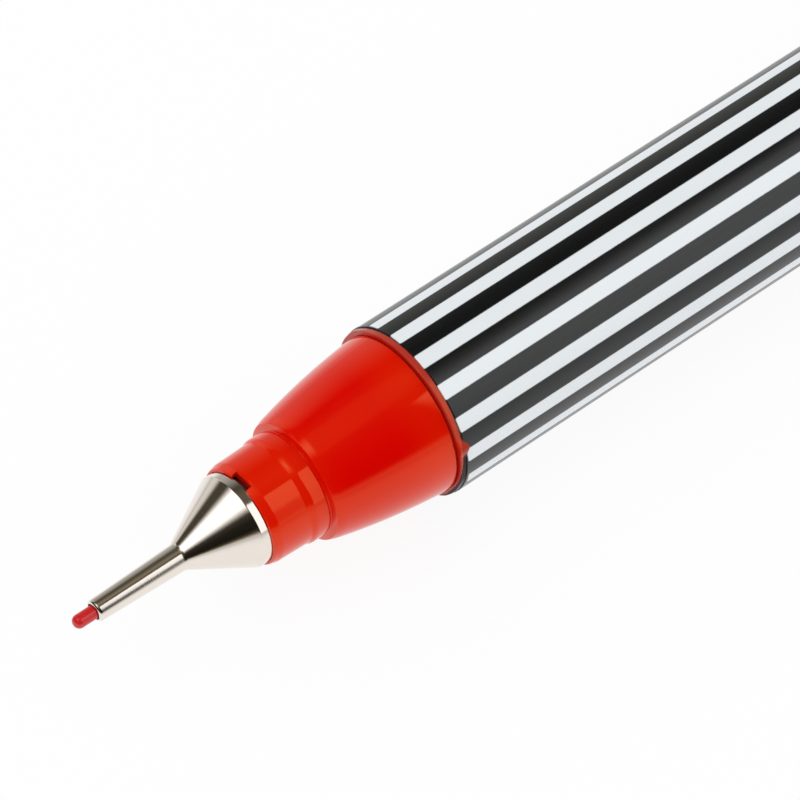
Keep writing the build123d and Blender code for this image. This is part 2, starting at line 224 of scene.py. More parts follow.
# Colours of the pieces inside, from the darker to the paler one
WIRE_GREYS = ((0.55, 0.55, 0.56, 1.0), (0.66, 0.66, 0.67, 1.0))
INK_REDS = ((0.36, 0.012, 0.014, 1.0), (0.58, 0.03, 0.03, 1.0))
FILM_WHITES = ((0.82, 0.8, 0.79, 1.0), (0.88, 0.87, 0.86, 1.0))

# Where most of a noise pattern's values lie
NOISE_LOW = 0.3
NOISE_HIGH = 0.7

# How finely the surfaces are divided
RING_STEPS = 256
ARC_STEP = radians(9.0)
SMOOTH_BELOW = radians(28.0)
EDGE_STEP = radians(0.25)
SUPPORT = 0.03 * MM
BOW_POINTS = 24
DOME_POINTS = 24
COIL_STEPS = 48
WIRE_STEPS = 14
CLIP_STEPS = 12


def count_prop(name, description, default):
    """A whole number from 1 up."""
    return IntProperty(name=name, description=description, default=default, min=1)


def length_prop(name, description, default):
    """A length in metres."""
    return FloatProperty(name=name, description=description, default=default, unit="LENGTH")


def angle_prop(name, description, default):
    """An angle in radians."""
    return FloatProperty(name=name, description=description, default=default, subtype="ANGLE")


def share_prop(name, description, default):
    """A share from 0 to 1."""
    return FloatProperty(name=name, description=description, default=default, subtype="FACTOR")


def light_prop(name, description, default):
    """A brightness, where 1 is white."""
    return FloatProperty(name=name, description=description, default=default)


def colour_prop(name, description, default):
    """A colour as three linear values."""
    return FloatVectorProperty(
        name=name, description=description, default=default, subtype="COLOR"
    )


class PenSizes(PropertyGroup):
    """Small forms and patterns on the pen's surfaces."""

    stripe_count: count_prop("Stripes", "Number of white stripes round the barrel", 16)
    stripe_black: angle_prop("Black stripe", "Angle that each black stripe covers", radians(12.4))
    stripe_turn: angle_prop(
        "Stripe turn", "Angle from straight up to the middle of a black stripe", radians(1.6)
    )
    stripe_margin: length_prop(
        "Stripe margin", "How far the white stripes end before the barrel's rims", -0.04 * MM
    )
    stripe_lean: length_prop(
        "Stripe lean",
        "How much further back the white stripes end a quarter turn from their nearest side",
        0.2 * MM,
    )
    stripe_corner: length_prop(
        "Stripe corner", "Radius of the corners at a white stripe's ends", 0.1 * MM
    )
    nose_bow: length_prop(
        "Nose bow", "How far the nose's body bulges from a straight cone", 0.128 * MM
    )
    vent_width: length_prop(
        "Vent width", "Width of each notch in the collar's front rim", 1.14 * MM
    )
    vent_depth: length_prop("Vent depth", "Depth of each notch along the axis", 0.29 * MM)
    vent_count: count_prop("Vents", "Number of notches round the collar", 2)
    gap_gape: length_prop(
        "Gap gape", "How much wider the gap before the nose's flange is on its open side", 0.05 * MM
    )
    flash_wave: length_prop("Flash wave", "Waviness of the flange's moulded edge", 0.006 * MM)
    flash_nub: length_prop("Flash nub", "Height of the scrap of flash on the flange", 0.14 * MM)
    flash_reach: length_prop(
        "Flash reach", "How far the scrap of flash hangs over the barrel", 0.2 * MM
    )
    spring_turns: count_prop(
        "Spring turns", "Number of turns of the spring behind the metal tip", 6
    )
    clip_thickness: length_prop("Clip thickness", "Thickness of the clip's strip", 0.5 * MM)
    clip_root: length_prop("Clip root width", "Width of the clip where it leaves the cap", 3.4 * MM)
    clip_tip: length_prop("Clip tip width", "Width of the clip at its rounded end", 2.6 * MM)


class PenColours(PropertyGroup):
    """Base colours of the finishes, as linear values."""

    stripe_white: colour_prop(
        "Stripe white", "Cool white of the printed stripes", (0.83, 0.87, 0.9)
    )
    stripe_black: colour_prop(
        "Stripe black", "Black of the barrel between the stripes", (0.0015, 0.0025, 0.0035)
    )
    red: colour_prop("Red", "Moulded red of the nose, tail and cap", (0.73, 0.0005, 0.0))
    # More orange red: the thin collar's own tone, and a painted sheen towards the barrel's rim
    collar_and_sheen_red: colour_prop(
        "Thin red", "More orange red of the nose's thin collar", (0.73, 0.008, 0.0)
    )
    soil: colour_prop("Soil", "Dull brown red of the soiled flange", (0.31, 0.045, 0.035))
    # Painted shade: dark red laid in the nose's notches, in the gap before its flange and on the
    # tip's shank inside the collar
    painted_shade: colour_prop(
        "Grime",
        "Dark red in the nose's notches, beside its flange and inside its collar",
        (0.08, 0.002, 0.001),
    )
    # Painted shade: a near-black laid on the flange beside the barrel, reaching furthest where the
    # gap before the flange gapes
    flange_shade: colour_prop("Soot", "Dark dirt where the flange meets the barrel", (0.03, 0.02, 0.018))
    metal: colour_prop("Metal", "Warm nickel plating of the tip", (0.85, 0.785, 0.715))
    clip: colour_prop("Clip", "Brushed nickel plating of the clip", (0.6, 0.585, 0.56))
    nib: colour_prop("Nib", "Ink-soaked red of the nib", (0.58, 0.009, 0.011))
    natural: colour_prop(
        "Natural plastic",
        "Unpigmented plastic of the carrier and the cap's liner",
        (0.8, 0.79, 0.74),
    )
    crown: colour_prop("Crown", "Black of the cap's crown", (0.012, 0.012, 0.012))


class PenStudio(PropertyGroup):
    """Light, floor and camera."""

    sky: light_prop("Sky light", "Even light from all round", 0.83)
    lamp: light_prop("Soft lamp", "Brightness of the large lamp over the nib", 0.96)
    key: light_prop(
        "Key panel", "Brightness of the large panel over the nib, as the gloss shows it", 2.1
    )
    head: light_prop(
        "Key head", "Brightness of the small head above the large panel, as the gloss shows it", 1.4
    )
    fill: light_prop(
        "Fill panel", "Brightness of the panel at the barrel's side, as the gloss shows it", 1.25
    )
    wing: light_prop(
        "Fill wing", "Brightness of the fill panel's upper wing, as the gloss shows it", 1.05
    )
    card: light_prop(
        "Back card", "Brightness of the card behind the pen, as the gloss shows it", 0.49
    )
    side_card: light_prop(
        "Side card", "Brightness of the back card's end beside the nib, as the gloss shows it", 0.78
    )
    wall: light_prop(
        "Dim wall", "Brightness of the wall behind the nib, as the gloss shows it", 0.064
    )
    floor_glow: share_prop(
        "Floor glow", "Share of the floor's seen white that no shadow darkens", 0.92
    )
    floor_bounce: share_prop(
        "Floor bounce", "Share of the floor's bounced light that no shadow darkens", 0.4
    )
    lens: FloatProperty(
        name="Lens",
        description="Focal length of the camera",
        default=256.5,
        subtype="DISTANCE_CAMERA",
    )
    azimuth: angle_prop(
        "Azimuth", "Camera's turn round the pen, from looking along +Y", radians(-39.96)
    )
    elevation: angle_prop("Elevation", "Camera's height above the horizon", radians(50.34))
    distance: length_prop(
        "Distance", "From the camera to the middle of the barrel's rim, along the view", 266.5 * MM
    )
    lift: length_prop("Lift", "How far the camera stands above the rim's line of sight", 0.646 * MM)


# Shapes


def bowed(start, end, sagitta):
    """Corners along a circular arc between two outline points, without the two ends.

    Points are spread evenly along the chord and lifted to the right of the way by the arc's
    height there, sqrt(R^2 - d^2) - (R - sagitta), with d the distance from the chord's middle.
    """
    start, end = np.array(start), np.array(end)
    chord = end - start
    length = np.hypot(*chord)
    radius = (length**2 / 4 + sagitta**2) / (2 * sagitta)
    share = np.linspace(0, 1, BOW_POINTS + 2)[1:-1]
    away = (share - 0.5) * length
    height = np.sqrt(radius**2 - away**2) - (radius - sagitta)
    right = np.array((chord[1], -chord[0])) / length
    points = start + share[:, None] * chord + height[:, None] * right
    return [(x, r, 0.0) for x, r in points]


def rounded(corners, closed=True):
    """Points of an outline through corners (x, r, fillet), each rounded by a tangent arc.

    A fillet f at a corner that turns by t begins f tan(t / 2) before the corner and ends as far
    after it, about a centre on the corner's bisector at f / cos(t / 2). Beside a rounded corner
    a run gets a point close to the arc, so that shading stays straight along the run.
    """
    spots = np.array([corner[:2] for corner in corners], float)
    fillets = [corner[2] for corner in corners]
    last = len(corners) - 1
    pieces = []
    for i, (spot, fillet) in enumerate(zip(spots, fillets)):
        if fillet == 0.0 or (not closed and i in (0, last)):
            pieces.append(spot[None])
            continue
        back = spots[i - 1] - spot
        ahead = spots[(i + 1) % len(spots)] - spot
        back /= np.hypot(*back)
        ahead /= np.hypot(*ahead)
        turn = pi - np.arccos(np.clip(back @ ahead, -1, 1))
        reach = fillet * tan(turn / 2)
        bisector = back + ahead
        bisector /= np.hypot(*bisector)
        centre = spot + bisector * fillet / cos(turn / 2)
        sweep = np.linspace(-turn / 2, turn / 2, int(turn / ARC_STEP) + 3)[:, None]
        side = (ahead - back) / np.hypot(*(ahead - back))
        arc = centre - fillet * np.cos(sweep) * bisector + fillet * np.sin(sweep) * side
        before = spot + back * (reach + SUPPORT)
        after = spot + ahead * (reach + SUPPORT)
        pieces.append(np.vstack([before, arc, after]))
    return np.vstack(pieces)


def ring_angles(edges=()):
    """Angles round the pen in even steps, with a close pair at each sharp edge."""
    even = np.linspace(0, 2 * pi, RING_STEPS, endpoint=False)
    pairs = [edge + side * EDGE_STEP / 2 for edge in edges for side in (-1, 1)]
    return np.unique(np.mod(np.concatenate([even, pairs]), 2 * pi))


def notch_edges(centres, half_width):
    """The angles of the two walls of each notch."""
    return [centre + side * half_width for centre in centres for side in (-1, 1)]


def in_notch(angles, centres, half_width):
    """1 for an angle inside a notch, 0 outside, with walls that stand within one edge step."""
    away = np.abs((angles[:, None] - np.array(centres) + pi) % (2 * pi) - pi).min(1)
    return np.clip(0.5 + (half_width - away) / EDGE_STEP, 0, 1)


def mesh_of(name, points, faces):
    """A smooth mesh whose faces point outwards, from points and arrays of faces.

    The sum of a . (b x c) / 6 over all triangles is the volume. Where it is negative, the faces
    point inwards and are turned round.
    """
    volume = 0.0
    for group in faces:
        for k in range(1, group.shape[1] - 1):
            a, b, c = (points[group[:, i]] for i in (0, k, k + 1))
            volume += np.einsum("ij,ij->", a, np.cross(b, c)) / 6
    if volume < 0:
        faces = [group[:, ::-1] for group in faces]
    mesh = bpy.data.meshes.new(name)
    mesh.from_pydata(points.tolist(), [], [face for group in faces for face in group.tolist()])
    mesh.shade_smooth()
    mesh.set_sharp_from_angle(angle=SMOOTH_BELOW)
    mesh.update()
    return mesh


def turned(name, outline, angles=None, shift=0.0, swell=0.0):
    """A surface of revolution about the pen's axis.

    The outline's point (x, r) goes round as (x, -r sin a, r cos a). A closed outline meets
    itself, and one that starts and ends on the axis closes in a pole at each end. shift and
    swell, as arrays of outline points by angles, move the points along the axis and outwards.
    """
    angles = ring_angles() if angles is None else angles
    poled = outline[0, 1] == 0.0
    rows = outline[1:-1] if poled else outline
    x = rows[:, :1] + np.zeros(len(angles)) + shift
    r = rows[:, 1:] + np.zeros(len(angles)) + swell
    points = np.stack([x, -r * np.sin(angles), r * np.cos(angles)], -1).reshape(-1, 3)
    index = np.arange(len(points)).reshape(x.shape)
    beside = np.roll(index, -1, 1)
    quads = np.stack([index, beside, np.roll(beside, -1, 0), np.roll(index, -1, 0)], -1)
    if not poled:
        return mesh_of(name, points, [quads.reshape(-1, 4)])
    first, last = len(points), len(points) + 1
    poles = np.array([(outline[0, 0], 0, 0), (outline[-1, 0], 0, 0)])
    fans = [
        np.stack([np.full(len(angles), first), beside[0], index[0]], -1),
        np.stack([np.full(len(angles), last), index[-1], beside[-1]], -1),
    ]
    return mesh_of(name, np.vstack([points, poles]), [quads[:-1].reshape(-1, 4), *fans])


def drawn_out(name, points):
    """A rod through rings of points, each ring joined to the next, with flat ends."""
    index = np.arange(points.shape[0] * points.shape[1]).reshape(points.shape[:2])
    beside = np.roll(index, -1, 1)
    quads = np.stack([index[:-1], beside[:-1], beside[1:], index[1:]], -1)
    ends = [index[:1, ::-1], index[-1:]]
    return mesh_of(name, points.reshape(-1, 3), [quads.reshape(-1, 4), *ends])


def strip(name, path, out, half_width, thickness, edge):
    """A bent strip: a rounded rectangle carried along a path of (x, distance from the axis).

    The path lies in the plane of the axis and the direction out. At each station the section's
    point is path + side (half width - e + e cos v) + normal (thickness / 2 - e + e sin v), with
    the signs of cos v and sin v on the straight shares, and e the edge radius or less.
    """
    ahead = np.gradient(path, axis=0)
    ahead /= np.hypot(*ahead.T)[:, None]
    along = np.array((1.0, 0.0, 0.0))
    across = np.cross(along, out)
    quarter = np.linspace(0, pi / 2, 5)
    turn = np.concatenate([quarter + k * pi / 2 for k in range(4)])
    sign_side = np.repeat((1, -1, -1, 1), len(quarter))
    sign_up = np.repeat((1, 1, -1, -1), len(quarter))
    roundest = 0.8 * half_width
    round_off = np.minimum(edge, roundest)[:, None]
    side = sign_side * (half_width[:, None] - round_off) + round_off * np.cos(turn)
    up = sign_up * (thickness / 2 - round_off) + round_off * np.sin(turn)
    middle = path[:, :1] * along + path[:, 1:] * out
    normal = -ahead[:, 1:] * along + ahead[:, :1] * out
    points = middle[:, None] + side[..., None] * across + up[..., None] * normal[:, None]
    return drawn_out(name, points)


def coil(name, start, end, turns):
    """A round wire wound into a helix about the pen's axis, with flat ends.

    After u turns the wire's middle is at (start + u pitch, R cos 2 pi u, R sin 2 pi u). The
    section's point is that middle + w (outwards cos v + (way x outwards) sin v), with w the
    wire's radius and way the helix's direction there.
    """
    u = np.linspace(0, turns, turns * COIL_STEPS + 1)
    pitch = (end - start) / turns
    turn = 2 * pi * u
    level = np.zeros_like(u)
    middle = np.stack([start + u * pitch, COIL_R * np.cos(turn), COIL_R * np.sin(turn)], -1)
    outwards = np.stack([level, np.cos(turn), np.sin(turn)], -1)
    round_way = 2 * pi * COIL_R * np.stack([level, -np.sin(turn), np.cos(turn)], -1)
    way = round_way + np.array((pitch, 0.0, 0.0))
    way /= np.hypot(2 * pi * COIL_R, pitch)
    v = np.linspace(0, 2 * pi, WIRE_STEPS, endpoint=False)
    beside_way = np.cross(way, outwards)
    section = np.cos(v)[:, None] * outwards[:, None] + np.sin(v)[:, None] * beside_way[:, None]
    return drawn_out(name, middle[:, None] + WIRE_R * section)


def in_scene(name, data):
    """A new object in the scene."""
    made = bpy.data.objects.new(name, data)
    bpy.context.scene.collection.objects.link(made)
    return made


def show(mesh, material, node):
    """Puts a finished mesh into the scene as the piece of that name, which stands for a node."""
    mesh.materials.append(material)
    piece = in_scene(mesh.name, mesh)
    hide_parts(node)
    return piece


def place(mesh, material, body, node):
    """Shows a piece that rides on one body."""
    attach(show(mesh, material, node), body)


# Finishes


def rgba(colour, level=1.0):
    """A colour as four values, made lighter or darker by a level."""
    return (*(level * share for share in colour), 1.0)


class Wiring:
    """Short calls for the nodes of one node tree."""

    def __init__(self, tree):
        self.nodes = tree.nodes
        self.links = tree.links

    def node(self, kind, **settings):
        """A new node with these settings."""
        made = self.nodes.new(kind)
        for name, value in settings.items():
            setattr(made, name, value)
        return made

    def feed(self, target, value):
        """Joins a socket to an input, or sets the input to a plain value."""
        if isinstance(value, bpy.types.NodeSocket):
            self.links.new(value, target)
        else:
            target.default_value = value

    def feed_all(self, targets, values):
        """Feeds inputs in order."""
        for target, value in zip(targets, values):
            self.feed(target, value)

    def math(self, operation, *values):
        """The output of a math node on sockets or numbers."""
        made = self.node("ShaderNodeMath", operation=operation)
        self.feed_all(made.inputs, values)
        return made.outputs["Value"]

    def dot(self, first, second):
        """How far one vector reaches along another."""
        made = self.node("ShaderNodeVectorMath", operation="DOT_PRODUCT")
        self.feed_all(made.inputs, (first, second))
        return made.outputs["Value"]

    def axes(self, vector):
        """The x, y and z of a vector."""
        made = self.node("ShaderNodeSeparateXYZ")
        self.feed(made.inputs["Vector"], vector)
        return made.outputs["X"], made.outputs["Y"], made.outputs["Z"]

    def ramp(self, value, low, high, at_low, at_high, smooth=False):
        """The value taken from the range low..high to the range at_low..at_high."""
        made = self.node("ShaderNodeMapRange")
        made.interpolation_type = "SMOOTHSTEP" if smooth else "LINEAR"
        self.feed_all(made.inputs, (value, low, high, at_low, at_high))
        return made.outputs["Result"]

    def step(self, value, low, high, smooth=False):
        """0 where the value is low, 1 where it is high, and a rise between them."""
        return self.ramp(value, low, high, 0.0, 1.0, smooth)

    def between(self, share, first, second):
        """A number between two others."""
        return self.ramp(share, 0.0, 1.0, first, second)

    def mix(self, share, first, second):
        """A colour between two others."""
        made = self.node("ShaderNodeMix", data_type="RGBA")
        colours = [socket for socket in made.inputs if socket.type == "RGBA"]
        self.feed_all((made.inputs["Factor"], *colours), (share, first, second))
        return next(socket for socket in made.outputs if socket.type == "RGBA")


class Finish(Wiring):
    """A new material, with the patterns and settings that the finishes share."""

    def __init__(self, name):
        self.material = bpy.data.materials.new(name)
        self.material.use_nodes = True
        super().__init__(self.material.node_tree)
        self.surface = self.nodes["Principled BSDF"]
        self.spot = self.node("ShaderNodeTexCoord").outputs["Object"]

    def noise(self, grain, detail=2.0, stretch=(1.0, 1.0, 1.0)):
        """Cloudy noise, 0 to 1, whose spots are about one grain across, longer by stretch."""
        mapped = self.node("ShaderNodeMapping")
        mapped.inputs["Scale"].default_value = [1 / (grain * share) for share in stretch]
        self.feed(mapped.inputs["Vector"], self.spot)
        made = self.node("ShaderNodeTexNoise")
        made.inputs["Scale"].default_value = 1.0
        made.inputs["Detail"].default_value = detail
        self.feed(made.inputs["Vector"], mapped.outputs["Vector"])
        return made.outputs["Fac"]

    def spread(self, noise, low, high):
        """Noise taken to the range low..high."""
        return self.ramp(noise, NOISE_LOW, NOISE_HIGH, low, high)

    def shades(self, pattern, colour, first, second):
        """A colour whose level goes from the first to the second with a pattern."""
        return self.mix(pattern, rgba(colour, first), rgba(colour, second))

    def place_round(self):
        """The place along the axis and the angle round the pen."""
        x, y, z = self.axes(self.spot)
        return x, self.math("ARCTAN2", self.math("MULTIPLY", y, -1.0), z)

    def bump(self, height, depth, strength):
        """Lets a height pattern, of that depth in metres, tilt the surface's normal."""
        made = self.node("ShaderNodeBump")
        made.inputs["Strength"].default_value = strength
        made.inputs["Distance"].default_value = depth
        self.feed(made.inputs["Height"], height)
        self.set(Normal=made.outputs["Normal"])

    def set(self, **sockets):
        """Sets or joins the shader's sockets, whose names are written with _ for a space."""
        for name, value in sockets.items():
            self.feed(self.surface.inputs[name.replace("_", " ")], value)
        return self.material


def shared(name, make, *values):
    """The material of that name, made on first use."""
    return bpy.data.materials.get(name) or make(name, *values)


def leaning(finish, angle):
    """1 - cos of the angle from the side where the stripes come nearest to the rim."""
    away = finish.math("SUBTRACT", angle, LEAN_ANGLE)
    return finish.math("SUBTRACT", 1.0, finish.math("COSINE", away))


def stripe_mask(f, sizes):
    """1 on the white stripes along the barrel, 0 between them.

    A stripe is a rounded rectangle on the unrolled barrel. Its mask comes from the distance to
    it: the angle's offset from the nearest stripe's middle, as an arc, and the distance past
    the stripe's ends, both less the corner radius, give the length of their positive parts.
    """
    x, angle = f.place_round()
    pitch = 2 * pi / sizes.stripe_count
    corner = sizes.stripe_corner
    half_white = BARREL_R * (pitch - sizes.stripe_black) / 2
    middle = sizes.stripe_turn + pitch / 2
    offset = f.math("WRAP", f.math("SUBTRACT", angle, middle), -pitch / 2, pitch / 2)
    arc = f.math("MULTIPLY", f.math("ABSOLUTE", offset), BARREL_R)
    past_side = f.math("MAXIMUM", f.math("SUBTRACT", arc, half_white - corner), 0.0)
    lean = f.math("MULTIPLY", leaning(f, angle), sizes.stripe_lean)
    start = f.math("ADD", lean, BARREL_X + sizes.stripe_margin + corner)
    front = f.math("SUBTRACT", start, x)
    rear = f.math("SUBTRACT", x, TAIL_X - sizes.stripe_margin - corner)
    past_end = f.math("MAXIMUM", f.math("MAXIMUM", front, rear), 0.0)
    squares = f.math("ADD", f.math("POWER", past_side, 2.0), f.math("POWER", past_end, 2.0))
    ragged = f.math("MULTIPLY", f.noise(0.12 * MM), 0.02 * MM)
    past = f.math("ADD", f.math("SQRT", squares), ragged)
    soft = 0.035 * MM
    return f.step(past, corner + soft, corner - soft, smooth=True)


def striped_lacquer(name, sizes, colours):
    """Gloss black lacquer with white stripes, faintly clouded and streaked along the barrel."""
    f = Finish(name)
    cloud = f.noise(1.5 * MM, 3.0, (4.0, 1.0, 1.0))
    pale = f.shades(cloud, colours.stripe_white, 1.0, 0.95)
    dark = f.shades(cloud, colours.stripe_black, 1.0, 1.5)
    streaks = f.noise(0.15 * MM, 3.0, (30.0, 1.0, 1.0))
    f.bump(streaks, 0.004 * MM, 0.06)
    return f.set(
        Base_Color=f.mix(stripe_mask(f, sizes), dark, pale),
        Roughness=f.spread(streaks, 0.22, 0.28),
        IOR=1.6,
    )


def red_skin(f, colours):
    """Colour and roughness of the red plastic: gloss, faintly clouded, with a very fine peel."""
    cloud = f.noise(2.0 * MM, 3.0)
    peel = f.noise(0.22 * MM, 2.0)
    f.bump(peel, 0.006 * MM, 0.05)
    f.set(Specular_Tint=(1.0, 0.45, 0.16, 1.0), IOR=1.85)
    return f.shades(cloud, colours.red, 1.0, 0.94), f.spread(peel, 0.04, 0.06)


def moulded_red(name, colours):
    """The red plastic of the tail and the cap."""
    f = Finish(name)
    colour, roughness = red_skin(f, colours)
    return f.set(Base_Color=colour, Roughness=roughness)


def flange_shade_mask(f, angle, soil, most):
    """Painted shade: up to most on the flange beside the barrel, 0 elsewhere, as ragged as the
    soil.

    The distance from the barrel is counted down the flange's edge: along the axis and inwards.
    """
    towards = f.math("COSINE", f.math("SUBTRACT", angle, GAPE_ANGLE))
    open_side = f.math("POWER", f.step(towards, -1.0, 1.0), OPEN_FALL)
    lean_reach = f.between(leaning(f, angle), 0.0, LEAN_SHADE)
    reach = f.math("ADD", lean_reach, f.between(open_side, 0.0, OPEN_SHADE))
    ragged = f.spread(soil, -SHADE_EDGE, SHADE_EDGE)
    x, y, z = f.axes(f.spot)
    radius = f.math("SQRT", f.math("ADD", f.math("POWER", y, 2.0), f.math("POWER", z, 2.0)))
    from_barrel = f.math("SUBTRACT", BARREL_X + FLANGE_R, f.math("ADD", x, radius))
    past = f.math("SUBTRACT", f.math("ADD", from_barrel, ragged), reach)
    return f.ramp(past, SHADE_EDGE, -SHADE_EDGE, 0.0, most)


def vent_mask(f, x, angle, sizes):
    """1 in the notches of the collar's front rim, 0 elsewhere."""
    half_pitch = pi / sizes.vent_count
    offset = f.math("ABSOLUTE", f.math("WRAP", angle, -half_pitch, half_pitch))
    half = sizes.vent_width / 2 / COLLAR_R
    soft = 0.01
    in_width = f.step(offset, half + soft, half - soft)
    vent_end = COLLAR_X + sizes.vent_depth
    in_depth = f.step(x, vent_end + 0.03 * MM, vent_end)
    return f.math("MULTIPLY", in_width, in_depth)


def nose_red(name, sizes, colours):
    """The red plastic, more orange on its thin collar, with a painted sheen towards the rim, soiled
    on the flange, and with painted shade in the notches, in the gap and beside the barrel.
    """
    f = Finish(name)
    x, angle = f.place_round()
    soil = f.noise(0.12 * MM, 3.0)
    thick, gloss = red_skin(f, colours)
    at_collar = f.ramp(x, RIDGE_X - 1.0 * MM, SHOULDER_X + 1.0 * MM, 1.0, 0.0, True)
    # Painted sheen: towards the rim the red turns more orange, as its gloss does there
    painted_rim_sheen = f.ramp(x, RIM_X - 2.8 * MM, RIM_X - 0.6 * MM, 0.0, 0.8, True)
    clean = f.mix(f.math("MAXIMUM", at_collar, painted_rim_sheen), thick, rgba(colours.collar_and_sheen_red))
    from_scrap = f.math("ABSOLUTE", f.math("SUBTRACT", angle, FLASH_ANGLE))
    off_scrap = f.ramp(from_scrap, radians(4.0), radians(8.0), 0.45, 1.0)
    on_flange = f.math("MULTIPLY", f.step(x, GAP_X, RIM_X + 0.02 * MM), off_scrap)
    soiled = f.math("MULTIPLY", on_flange, f.ramp(soil, 0.25, 0.6, 0.3, 0.8))
    worn = f.mix(soiled, clean, rgba(colours.soil))
    # Painted shade on the flange beside the barrel, laid over the soiled red
    flange_shade = flange_shade_mask(f, angle, soil, off_scrap)
    flange_shaded = f.mix(flange_shade, worn, rgba(colours.flange_shade))
    # Painted shade: the gap before the flange and the notches turn to the painted shade colour,
    # with less gloss there and on the painted shade beside the barrel
    at_rim = f.ramp(x, GAP_X - 0.1 * MM, RIM_X, 0.0, 0.35, smooth=True)
    before_rim = f.step(x, RIM_X + 0.03 * MM, RIM_X)
    in_gap = f.math("MULTIPLY", at_rim, before_rim)
    in_vent = f.math("MULTIPLY", vent_mask(f, x, angle, sizes), 0.75)
    shade = f.math("MAXIMUM", in_gap, in_vent)
    return f.set(
        Base_Color=f.mix(shade, flange_shaded, rgba(colours.painted_shade)),
        Roughness=f.between(soiled, gloss, 0.35),
        Specular_IOR_Level=f.ramp(f.math("MAXIMUM", shade, flange_shade), 0.0, 0.75, 0.5, 0.03),
    )


def tip_nickel(name, colours):
    """Satin nickel plating with a fine grain and turning marks, and painted shade on the shank
    inside the collar.
    """
    f = Finish(name)
    grain = f.noise(0.06 * MM, 2.0)
    marks = f.noise(0.03 * MM, 2.0, (1.0, 60.0, 60.0))
    cloud = f.noise(0.8 * MM, 2.0)
    f.bump(f.math("ADD", grain, marks), 0.003 * MM, 0.2)
    # Painted shade: behind the band the shank turns dull, dark red and not metal, as if in shadow
    shank_shade = f.step(f.axes(f.spot)[0], BAND_X - 0.02 * MM, BAND_X + 0.02 * MM)
    plated = f.shades(cloud, colours.metal, 1.0, 0.96)
    return f.set(
        Base_Color=f.mix(shank_shade, plated, rgba(colours.painted_shade, 2.0)),
        Roughness=f.between(shank_shade, f.spread(grain, 0.07, 0.12), 0.6),
        Metallic=f.between(shank_shade, 1.0, 0.0),
    )


def brushed_nickel(name, colours):
    """Nickel plated strip, brushed lengthwise."""
    f = Finish(name)
    brush = f.noise(0.05 * MM, 3.0, (80.0, 1.0, 1.0))
    f.bump(brush, 0.004 * MM, 0.25)
    return f.set(
        Base_Color=f.shades(brush, colours.clip, 0.85, 1.1),
        Roughness=f.spread(brush, 0.2, 0.32),
        Metallic=1.0,
    )


def inked_nib(name, colours):
    """Smooth pressed fibre, soaked with ink and darker in its pores."""
    f = Finish(name)
    pores = f.noise(0.05 * MM, 3.0, (3.0, 1.0, 1.0))
    f.bump(pores, 0.006 * MM, 0.2)
    return f.set(
        Base_Color=f.shades(pores, colours.nib, 0.85, 1.15),
        Roughness=f.spread(pores, 0.14, 0.24),
        IOR=1.6,
    )


def natural_plastic(name, colours):
    """Unpigmented plastic with a satin skin and faint flow clouds."""
    f = Finish(name)
    cloud = f.noise(1.5 * MM, 3.0)
    f.bump(f.noise(0.15 * MM), 0.004 * MM, 0.1)
    return f.set(
        Base_Color=f.shades(cloud, colours.natural, 1.0, 0.92),
        Roughness=f.spread(cloud, 0.38, 0.5),
    )


def crown_black(name, colours):
    """Gloss black moulding with a fine peel."""
    f = Finish(name)
    peel = f.noise(0.25 * MM)
    f.bump(peel, 0.006 * MM, 0.06)
    return f.set(
        Base_Color=f.shades(peel, colours.crown, 1.0, 1.6),
        Roughness=f.spread(peel, 0.14, 0.22),
    )


def spring_wire(name):
    """Bright drawn wire, faintly mottled."""
    f = Finish(name)
    mottle = f.noise(0.04 * MM, 2.0)
    return f.set(
        Base_Color=f.mix(mottle, *WIRE_GREYS),
        Roughness=f.spread(mottle, 0.2, 0.32),
        Metallic=1.0,
    )


def inked_fibre(name):
    """Bundled fibres along the axis, soaked unevenly with red ink."""
    f = Finish(name)
    fibres = f.noise(0.06 * MM, 3.0, (80.0, 1.0, 1.0))
    f.bump(fibres, 0.03 * MM, 0.5)
    return f.set(Base_Color=f.mix(fibres, *INK_REDS), Roughness=f.spread(fibres, 0.7, 0.9))


def milky_film(name):
    """Thin milky film with faint creases."""
    f = Finish(name)
    creases = f.noise(0.5 * MM, 3.0, (8.0, 1.0, 1.0))
    f.bump(creases, 0.01 * MM, 0.2)
    return f.set(Base_Color=f.mix(creases, *FILM_WHITES), Roughness=f.spread(creases, 0.3, 0.42))


# Operators


class PEN_OT_barrel(Operator):
    """Make the striped barrel"""

    bl_idname = "pen.barrel"
    bl_label = "Barrel"

    def execute(self, context):
        sizes = context.scene.pen_sizes
        outline = rounded(
            [
                (BARREL_X, BORE_R, 0.0),
                (BARREL_X, BARREL_R, 0.03 * MM),
                (TAIL_X, BARREL_R, 0.12 * MM),
                (TAIL_X, BORE_R, 0.0),
            ]
        )
        lacquer = shared("striped_lacquer", striped_lacquer, sizes, context.scene.pen_colours)
        mesh = turned("barrel_tube", outline)
        place(mesh, lacquer, "pen", "barrel")
        return {"FINISHED"}


